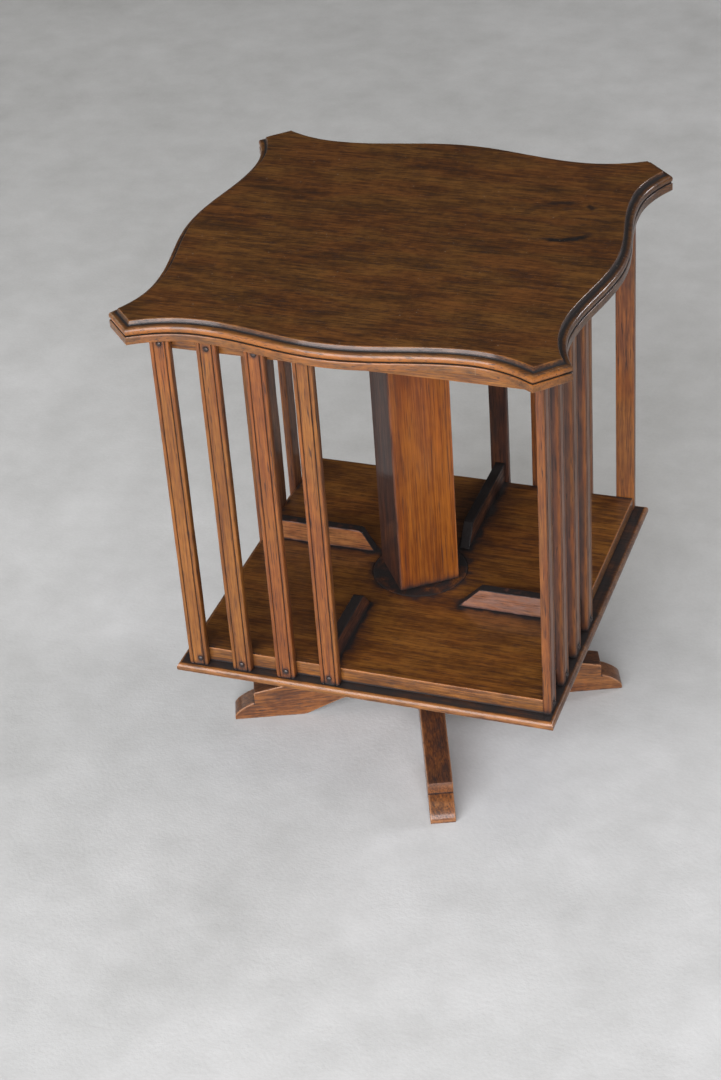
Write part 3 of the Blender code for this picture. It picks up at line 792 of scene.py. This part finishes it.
def loft(stations, width, corner, inner=(2, 2)):
    """A bar along X: stations are (x, low, high, inset, dirt and painted shade, wear), and its width
    is along Y.
    """
    rows = []
    for x, low, high, inset, dirt_and_shade, worn in stations:
        round_r = min(corner, (high - low) * 0.3)
        ring, wear = section(width - 2 * inset, max(high - low - 2 * inset, 2e-4), round_r, inner)
        middle = (low + high) / 2
        ring = np.column_stack([np.full(len(ring), x), ring[:, 0], ring[:, 1] + middle])
        rows.append((ring, dirt_and_shade, np.maximum(wear, worn)))
    return stack(rows)


def ends(start, stop, steps):
    """Even steps between two places, with close ones by each end: (place, inset, wear)."""
    lead = ((0.0, 0.0009, 1.0), (0.00025, 0.0004, 1.0), (0.0008, 0.00005, 0.7), (0.0022, 0.0, 0.2))
    middle = np.linspace(start + 0.006, stop - 0.006, steps)
    out = [(start + d, inset, worn) for d, inset, worn in lead]
    out += [(x, 0.0, 0.0) for x in middle]
    return out + [(stop - d, inset, worn) for d, inset, worn in lead[::-1]]


# ---- post, dividers and foot ----


def centre_post(finish):
    """The square post, with softened arrises, a scuffed foot and painted shade on its front-left face.
    """
    rows = []
    for z, inset, worn in ends(POST_LOW, POST_TOP, 60):
        ring, wear = section(2 * (POST_HALF - inset), 2 * (POST_HALF - inset), 0.0011, (9, 9))
        dirt_and_shade = 0.75 * np.exp(-(z - POST_LOW) / 0.004) + 0.24 * np.exp(-(z - POST_LOW) / 0.055)
        rows.append((lifted(ring, z), dirt_and_shade, np.maximum(wear * 0.8, worn * 0.5)))
    shell = stack(rows)
    shell.wear += 0.25 * (shell.points[:, 2] < POST_LOW + 0.012)
    # Painted shade on the face that turns to the front left, away from the light.
    darkened = np.clip((-shell.points[:, 0] - POST_HALF + 0.003) / 0.002, 0, 1)
    shell.dirt_and_shade = np.maximum(shell.dirt_and_shade, 0.66 * darkened)
    grain = plank(shell.points, UPRIGHT, LENGTHWAYS, (0.05, 0.13), 5, 2.6)
    shell.points = turned_about_z(shell.points, POST_ANGLE)
    add_piece("oak_post", [shell], finish, "stand", ["centre_post"], grain)


# For each side's divider: the run of its slanted end, how much it is darkened by dirt and painted
# shade inside the case, and how bleached
DIVIDERS = {
    "front": (0.0200, 0.60, 0.0),
    "right": (0.0235, 0.0, 0.60),
    "back": (0.0180, 0.60, 0.0),
    "left": (0.0140, 0.0, 0.0),
}


def divider(side, finish, seed):
    """A book stop: a low board whose inner end is cut back on a slant, blackened on top."""
    low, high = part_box(f"divider_{side}")
    angle = QUARTER * (SIDES.index(side) - 1)
    unturn = turned_about_z(np.array([low, high]), -angle)
    start, stop = sorted(abs(unturn[:, 0]))
    middle = unturn[:, 1].mean()
    thick = abs(unturn[1, 1] - unturn[0, 1])
    slant, darkening, bleach = DIVIDERS[side]
    stations = []
    for x, inset, worn in ends(start, stop, 34):
        rise = min((x - start) / slant, 1.0)
        top = low.z + 0.0006 + (high.z - low.z - 0.0006) * rise
        stations.append((x, low.z, top, min(inset, 0.0003), 0.0, worn * 0.3))
    shell = loft(stations, thick, 0.0007, (2, 4))
    points = shell.points
    rise = np.clip((points[:, 0] - start) / slant, 0, 1)
    surface = low.z + (high.z - low.z) * rise
    ragged = waver(points, 0.006, 0.0008, seed)
    on_top = np.clip(1 - (surface - points[:, 2] + ragged) / 0.0012, 0, 1)
    at_foot = np.exp(-np.maximum(points[:, 2] - low.z + ragged, 0) / 0.0022)
    # Blackened on top and at the foot, and darkened all over by the table's dirt and painted shade.
    shell.dirt_and_shade = np.clip(np.maximum(on_top * 0.95, at_foot) + darkening, 0, 1)
    shell.wear = np.maximum(shell.wear * (1 - on_top), bleach)
    grain = plank(points, LENGTHWAYS, UPRIGHT, (0.03 + 0.01 * seed, 0.08), seed)
    shell.points = turned_about_z(points + np.array([0, middle, 0]), angle)
    add_piece(f"oak_divider_{side}", [shell], finish, "case", [f"divider_{side}"], grain)


FOOT_TOE_R = 0.211
FOOT_STEP_R = 0.1885
FOOT_STEP_LOW = 0.021
FOOT_STEP_HIGH = 0.034
FOOT_TOE_H = 0.004
FOOT_PAD_R = 0.134
FOOT_ARCH_R = 0.092
FOOT_ARCH_H = 0.018
FOOT_SEAT_R = 0.050
FOOT_HALVING = 0.0133
STEP_SIDE_SHARE = 0.1


def foot_top(x):
    """Height of an arm's upper face."""
    if x <= FOOT_SEAT_R:
        return FOOT_TOP
    if x <= FOOT_STEP_R:
        share = (x - FOOT_SEAT_R) / (FOOT_STEP_R - FOOT_SEAT_R)
        return FOOT_TOP + (FOOT_STEP_HIGH - FOOT_TOP) * share
    reach = min((x - FOOT_STEP_R) / (FOOT_TOE_R - FOOT_STEP_R), 1.0)
    return FOOT_TOE_H + (FOOT_STEP_LOW - FOOT_TOE_H) * (sqrt(1 - reach**2) + 1 - reach) / 2


def foot_under(x):
    """Height of an arm's lower face."""
    share = (x - FOOT_ARCH_R) / (FOOT_PAD_R - FOOT_ARCH_R)
    return FOOT_ARCH_H * (1 - min(max(share, 0.0), 1.0))


def foot_stations(lower):
    """Stations along a whole bar: the halving in the middle, the step and the rounded toes."""
    middle = (FOOT_TOP + FOOT_ARCH_H) / 2
    low, high = (FOOT_ARCH_H, middle) if lower else (middle + 0.0003, FOOT_TOP)
    arm = [(x, low, high, 0.0, 0.0, 0.0) for x in (0.0, 0.006, FOOT_HALVING - 0.0001)]
    for x in np.linspace(FOOT_HALVING, 0.186, 46):
        arm.append((x, foot_under(x), foot_top(x), 0.0, 0.0, 0.0))
    for back, drop, worn in ((0.0010, 0.0, 0.5), (0.0003, 0.0003, 1.0), (0.0, 0.0010, 0.8)):
        x = FOOT_STEP_R - back
        arm.append((x, 0.0, FOOT_STEP_HIGH - drop, 0.0, 0.0, worn))
    # Painted shade in the corner at the foot of the step, fading onto the top of the toe.
    for rise, dirty in ((0.0035, 0.0), (0.0010, 0.3), (0.0, 0.8)):
        arm.append((FOOT_STEP_R + 1e-5, 0.0, FOOT_STEP_LOW + rise, 0.0, dirty, 0.0))
    for angle in np.linspace(0.08, QUARTER, 14):
        x = FOOT_STEP_R + (FOOT_TOE_R - FOOT_STEP_R) * sin(angle)
        arm.append((x - 1e-5, 0.0, foot_top(x), 0.0, 0.25 * cos(angle) ** 2, 0.3))
    arm.append((FOOT_TOE_R, 0.0, FOOT_TOE_H, 0.0004, 0.0, 0.8))
    return [(-x, *rest) for x, *rest in arm[:0:-1]] + arm


def foot_bar(name, lower, turn, finish, seed):
    """One bar of the cross foot."""
    shell = loft(foot_stations(lower), 2 * FOOT_HALF_WIDTH, 0.0009, (3, 4))
    floor_dirt = np.exp(-shell.points[:, 2] / 0.0015)
    inside = np.abs(shell.points[:, 1]) < FOOT_HALF_WIDTH - 0.0008
    upper = inside & (shell.points[:, 2] > 0.030)
    by_step = np.abs(np.abs(shell.points[:, 0]) - FOOT_STEP_R) < 0.0015
    # Near the step, its wear and its painted shade are kept mostly off the lower sides of the bar.
    shell.wear[by_step & (shell.points[:, 2] < FOOT_STEP_HIGH - 0.004)] *= STEP_SIDE_SHARE
    shell.dirt_and_shade[by_step & (shell.points[:, 2] < FOOT_STEP_LOW - 0.002)] *= STEP_SIDE_SHARE
    shell.dirt_and_shade = np.maximum(shell.dirt_and_shade, 0.8 * floor_dirt)
    # Painted shade on the arms' upper faces, which get less light than their sides.
    shell.dirt_and_shade[upper] = np.maximum(shell.dirt_and_shade[upper], 0.52)
    grain = plank(shell.points, LENGTHWAYS, UPRIGHT, (0.05, 0.02 + 0.01 * seed), seed)
    shell.points = turned_about_z(shell.points, turn)
    add_piece(f"oak_{name}", [shell], finish, "stand", [name], grain)


SEAT_R = 0.046
SEAT_TOP = 0.088
WAIST_TOP = 0.096
FLANGE_R = 0.068
FLANGE_LOW = 0.126
# The neck's top face, under the foot of the post: (radius, dirt and painted shade)
NECK_FACE = (
    (0.0492, 0.8), (0.0480, 0.75), (0.0455, 0.7), (0.0425, 0.7), (0.0380, 0.8), (0.0340, 0.9),
    (0.0020, 0.9),
)


def pivot_block(finish):
    """The turned block, whose neck shows round the foot of the post."""
    low = BLOCK_LOW
    flange_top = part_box("lower_bearing_ring")[0].z - 0.0003
    profile = [(0.002, low, 0, 0), (SEAT_R - 0.002, low, 0.3, 0)]
    profile += [(SEAT_R - 0.0004, low + 0.0004, 0.4, 0.5), (SEAT_R, low + 0.0015, 0.1, 0.4)]
    profile += [(SEAT_R, low + 0.012, 0, 0), (SEAT_R, SEAT_TOP, 0, 0)]
    for angle in np.linspace(0.0, QUARTER, 12):
        reach = SEAT_R + (FLANGE_R - SEAT_R) * (1 - cos(angle))
        profile.append((reach, WAIST_TOP + (FLANGE_LOW - WAIST_TOP) * sin(angle), 0.1, 0.1))
    middle = (FLANGE_LOW + flange_top) / 2
    profile += [(FLANGE_R, FLANGE_LOW + 0.0010, 0, 0.8), (FLANGE_R, middle, 0, 0.2)]
    profile += [(FLANGE_R, flange_top - 0.001, 0, 0.6), (FLANGE_R - 0.0008, flange_top, 0, 0.5)]
    # The neck round the foot of the post is darkened by dirt and painted shade.
    profile += [(NECK_R + 0.002, flange_top, 0.5, 0), (NECK_R, flange_top + 0.0005, 0.6, 0)]
    profile += [(NECK_R, NECK_TOP - 0.002, 0.8, 0), (NECK_R - 0.0002, NECK_TOP - 0.0003, 0.8, 0)]
    profile += [(radius, NECK_TOP, dirt_and_shade, 0) for radius, dirt_and_shade in NECK_FACE]
    shell = stack([(lifted(circle(radius, 120), z), *rest) for radius, z, *rest in profile])
    shell.dirt_and_shade += waver(shell.points, 0.012, 0.5, 6.0) + waver(shell.points, 0.004, 0.25, 2.0)
    grain = plank(shell.points, UPRIGHT, LENGTHWAYS, (0.03, 0.02), 9)
    add_piece("oak_pivot_block", [shell], finish, "stand", ["pivot_block"], grain)


# ---- slats and nails ----

SLAT_HALF = 0.0101
SLAT_THICK_MM = 8.3
# Height of the nails at the foot and the head of a slat
NAIL_LEVELS = (SLAT_LOW + 0.0080, SUB_TOP_LOW + 0.0087)

# Half a slat's section in millimetres: out from its middle, depth, dirt and painted shade (darkest in
# the grooves and on the inner face), wear
SLAT_SECTION = [
    (0, 0, 0, 0), (1.6, 0, 0, 0), (3.2, 0, 0, 0), (4.4, 0.02, 0, 0.1), (5.0, 0.14, 0, 0.3),
    (5.3, 0.45, 0.1, 0), (5.5, 1.0, 0.6, 0), (5.7, 1.35, 0.9, 0), (5.95, 1.4, 0.9, 0),
    (6.2, 1.1, 0.6, 0), (6.45, 0.65, 0.2, 0), (6.8, 0.32, 0, 0.1), (7.4, 0.08, 0, 0.2),
    (8.1, 0, 0, 0.3), (8.7, 0.08, 0, 0.3), (9.25, 0.3, 0, 0.35), (9.7, 0.75, 0, 0.35),
    (9.98, 1.4, 0.05, 0.2), (10.1, 2.2, 0.2, 0), (10.1, 4, 0.3, 0), (10.1, 6, 0.35, 0),
    (10.05, 7.4, 0.35, 0), (9.75, 8.05, 0.35, 0), (9.2, 8.3, 0.38, 0), (6.5, 8.3, 0.38, 0),
    (3.2, 8.3, 0.38, 0),
]


def slat_shell(seed):
    """A reeded slat in its own axes: its middle at X 0 and its face at Y 0."""
    mirrored = [(-x, y, d, w) for x, y, d, w in SLAT_SECTION[:0:-1]]
    around = np.array(SLAT_SECTION + [(0, SLAT_THICK_MM, 0.38, 0)] + mirrored)
    rows = []
    for z, inset, worn in ends(SLAT_LOW, SLAT_HIGH, 92):
        shrink = 1 - inset / SLAT_HALF
        depth = around[:, 1] * (1 + 0.12 * noise.noise(Vector((seed, z * 14, 0))))
        depth = np.minimum(depth, SLAT_THICK_MM)
        out = around[:, 0] * shrink + 0.15 * noise.noise(Vector((seed, 7, z * 9)))
        rubbed = 0.8 + noise.noise(Vector((seed, z * 30, 3)))
        ring = lifted(np.column_stack([out, depth]), z / MM) * MM
        rows.append((ring, around[:, 2], np.maximum(around[:, 3] * rubbed, worn * 0.5)))
    return stack(rows)


def nail_stray(side, index, level):
    """How far a nail strays from the middle of its slat."""
    return 0.0010 + 0.0025 * noise.noise(Vector((1.7 * index, 9.1 * level, 3.3 * SIDES.index(side))))


def slat_middle(side, index):
    """Place of a slat's middle along its side."""
    middle = sum(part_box(f"slat_{side}_{index + 1}"), Vector()) / 2
    return turned_about_z(np.array([middle]), -QUARTER * SIDES.index(side))[0, 0]


# Changes to the painted shade of each slat of a side, inside the back ones and on the near edge of the
# right ones, and how much more the right ones are darkened by painted shade in their grooves, sides
# and inner face
BACK_INSIDE_SHADE_CHANGE = (-0.25, -0.25, -0.25, 0.05)
RIGHT_EDGE_SHADE_CHANGE = (-0.65, -0.22, -0.22, -0.22)
RIGHT_SLAT_SHADE_GAIN = 1.6
NAIL_STAIN_R = 0.0048


def slat(side, index, finish):
    """One slat in its place, stained round its nails, dirty at its foot and darkened by the painted
    shade of its side.
    """
    name = f"slat_{side}_{index + 1}"
    angle = QUARTER * SIDES.index(side)
    seed = 10 + 4 * SIDES.index(side) + index
    shell = slat_shell(seed)
    points = shell.points
    # Painted shade inside the back slats and on the right ones, lighter at the near edge of the right
    # ones
    if side == "back":
        shell.dirt_and_shade += BACK_INSIDE_SHADE_CHANGE[index] * (points[:, 1] > 0.002)
    if side == "right":
        shell.dirt_and_shade *= RIGHT_SLAT_SHADE_GAIN
        shell.dirt_and_shade += RIGHT_EDGE_SHADE_CHANGE[index] * (points[:, 0] < 0.0009 - SLAT_HALF)
    front = points[:, 1] < 0.002
    for level in NAIL_LEVELS:
        far = np.hypot(points[:, 0] - nail_stray(side, index, level), points[:, 2] - level)
        darkening = 0.95 * np.exp(-((far / NAIL_STAIN_R) ** 2))
        shell.dirt_and_shade = np.where(front, np.maximum(shell.dirt_and_shade, darkening), shell.dirt_and_shade)
    foot = np.exp(-(points[:, 2] - SLAT_LOW + waver(points, 0.01, 0.002, seed)) / 0.0035)
    # The side's painted shade is added all over the slat.
    shell.dirt_and_shade = np.clip(np.maximum(shell.dirt_and_shade, foot) + 0.95 * SIDE_PAINTED_SHADE[side], 0, 1)
    pith = (0.02 + 0.013 * (seed % 5), 0.05 + 0.021 * (seed % 3))
    grain = plank(points, UPRIGHT, LENGTHWAYS, pith, seed, 1.8)
    place = np.array([slat_middle(side, index), -SLAT_FACE, 0.0])
    shell.points = turned_about_z(points + place, angle)
    add_piece(f"oak_{name}", [shell], finish, "case", [name], grain)


NAIL_HEAD_R = 0.0028
NAIL_HEAD_RISE = 0.0016


def nail_shell(seed):
    """A hand-made dome-headed nail, pointing along +Y with its head towards -Y."""
    rings = []
    for angle in np.linspace(0.12, QUARTER, 7):
        rings.append((NAIL_HEAD_R * sin(angle), -NAIL_HEAD_RISE * cos(angle)))
    rings += [(NAIL_HEAD_R * 0.96, 0.0003), (0.0011, 0.0004), (0.0010, 0.0120), (0.0002, 0.0150)]
    out = []
    for radius, y in rings:
        ring = circle(radius, 18)
        dent = 1 + waver(np.column_stack([ring / NAIL_HEAD_R, np.full(18, seed)]), 0.9, 0.10, seed)
        out.append(np.column_stack([ring[:, 0] * dent, np.full(18, y), ring[:, 1] * dent]))
    return Shell(out)


def nails(side, finish):
    """The nails of one side, one at each end of each slat."""
    angle = QUARTER * SIDES.index(side)
    shells = []
    for index in range(SLATS_PER_SIDE):
        for level in NAIL_LEVELS:
            across = slat_middle(side, index) + nail_stray(side, index, level)
            shell = nail_shell(3.7 * index + 11 * level + SIDES.index(side))
            spot = np.array([across, -SLAT_FACE - 0.0001, level])
            shell.points = turned_about_z(shell.points + spot, angle)
            shells.append(shell)
    add_piece(f"nails_{side}", shells, finish, "case", [])


# ---- metal pieces ----


def turned_shell(profile, count, closed=False, centre=(0.0, 0.0)):
    """A turned surface from (radius, z) points, on an upright axis."""
    shift = np.array([*centre, 0.0])
    return Shell([lifted(circle(radius, count), z) + shift for radius, z in profile], closed=closed)


def add_ring(name, node, hole, finish, body, count=96):
    """A flat ring with softened edges, as large as its node."""
    outer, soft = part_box(node)[1].x, 0.00025
    low, high = upright(node)
    profile = [(outer - soft, low), (outer, low + soft), (outer, high - soft), (outer - soft, high)]
    profile += [(hole + soft, high), (hole, high - soft), (hole, low + soft), (hole + soft, low)]
    add_piece(name, [turned_shell(profile, count, closed=True)], finish, body, [node])


def add_pin(name, node, chamfer, finish):
    """A round pin of the stand, chamfered below and a little more above."""
    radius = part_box(node)[1].x
    low, high = upright(node)
    profile = [(radius - chamfer, low), (radius, low + chamfer)]
    profile += [(radius, high - chamfer - 0.0004), (radius - chamfer - 0.0002, high)]
    add_piece(name, [turned_shell(profile, 32)], finish, "stand", [node])


# Each kind of screw: its body, and whether it is driven downwards
SCREWS = {
    "base_screw": ("case", False),
    "sub_top_screw": ("case", False),
    "foot_screw": ("stand", False),
    "upper_ring_screw": ("case", False),
    "lower_ring_screw": ("stand", True),
    "top_plate_screw": ("case", False),
}
SLOT_HALF = 0.0005


def slotted_screws(name, body, finish, down):
    """Countersunk screw heads with a saw-cut slot, where the frame's screws are."""
    nodes = sorted(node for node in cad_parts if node.rsplit("_", 1)[0] == name)
    shells = []
    for number, node in enumerate(nodes):
        low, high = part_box(node)
        head_r = (high.x - low.x) / 2
        level, sign = (high.z, -1) if down else (low.z, 1)
        level -= sign * 0.00012
        centre = ((low.x + high.x) / 2, (low.y + high.y) / 2)
        turn = 1.1 * number + 0.4
        for half in (0, 1):
            shells.append(half_head(head_r, level, sign, centre, turn + pi * half))
        floor = [(head_r * 0.97, level + sign * 0.0008), (head_r * 0.97, level + sign * 0.0020)]
        shells.append(turned_shell(floor, 24, centre=centre))
    add_piece(f"{name}s", shells, finish, body, nodes)


def half_head(head_r, level, sign, centre, turn):
    """Half of a screw's head, beside its slot."""
    start = np.arcsin(SLOT_HALF / head_r)
    arc = np.linspace(start, pi - start, 14)
    outline = np.stack([head_r * np.cos(arc), head_r * np.sin(arc)], 1)
    inner = outline * 0.96 + np.array([0.0, SLOT_HALF * 0.04])
    rings = [lifted(inner, level)]
    rings += [lifted(outline, level + sign * depth) for depth in (0.0002, 0.0011)]
    rings = [turned_about_z(ring, turn) + np.array([*centre, 0.0]) for ring in rings]
    return Shell(rings)


def metal_pieces(iron, steel):
    """The rod with its washer and nut, the bearing rings, and the pin with its plate."""
    add_pin("steel_rod", "centre_rod", 0.0006, steel)
    add_ring("steel_washer", "rod_washer", 0.0053, steel, "stand", 48)
    low, high = upright("rod_nut")
    nut = [(0.0084, low), (0.0092, low + 0.0005), (0.0092, high - 0.0003), (0.0088, high)]
    nut += [(0.0056, high), (0.0053, high - 0.0004), (0.0053, low + 0.0004), (0.0058, low)]
    add_piece("steel_nut", [turned_shell(nut, 6, closed=True)], steel, "stand", ["rod_nut"])
    add_ring("iron_lower_ring", "lower_bearing_ring", RING_HOLE_R, iron, "stand")
    add_ring("iron_upper_ring", "upper_bearing_ring", RING_HOLE_R, iron, "case")
    add_ring("iron_top_plate", "top_bearing_plate", PIN_HOLE_R, iron, "case", 64)
    add_pin("steel_pin", "top_pin", 0.0008, steel)


# ---- the whole ----


def build():
    """Every piece, with its finish."""
    oaks = {slot: (slot, oak(slot, *colours, **rest)) for slot, (*colours, rest) in OAKS.items()}
    add_cup_ring(oaks["top_oak"][1])
    iron = ("iron", metal("old_iron", (0.060, 0.048, 0.046), (0.030, 0.014, 0.008), 0.8, 0.42))
    steel = ("steel", metal("old_steel", (0.30, 0.29, 0.28), (0.10, 0.06, 0.04), 0.95, 0.32))
    table_top(oaks["top_oak"])
    shelf_board(oaks["board_oak"])
    base_board(oaks["board_oak"])
    sub_top(oaks["board_oak"])
    centre_post(oaks["post_oak"])
    pivot_block(oaks["foot_oak"])
    foot_bar("foot_bar_lower", True, FOOT_ANGLE, oaks["foot_oak"], 6)
    foot_bar("foot_bar_upper", False, FOOT_ANGLE + QUARTER, oaks["foot_oak"], 7)
    for number, side in enumerate(SIDES):
        divider(side, oaks["divider_oak"], 30 + number)
        nails(side, iron)
        for index in range(SLATS_PER_SIDE):
            slat(side, index, oaks["slat_oak"])
    metal_pieces(iron, steel)
    for name, (body, down) in SCREWS.items():
        slotted_screws(name, body, iron, down)


add_camera()
add_lights()
add_surround()
add_floor()
build()
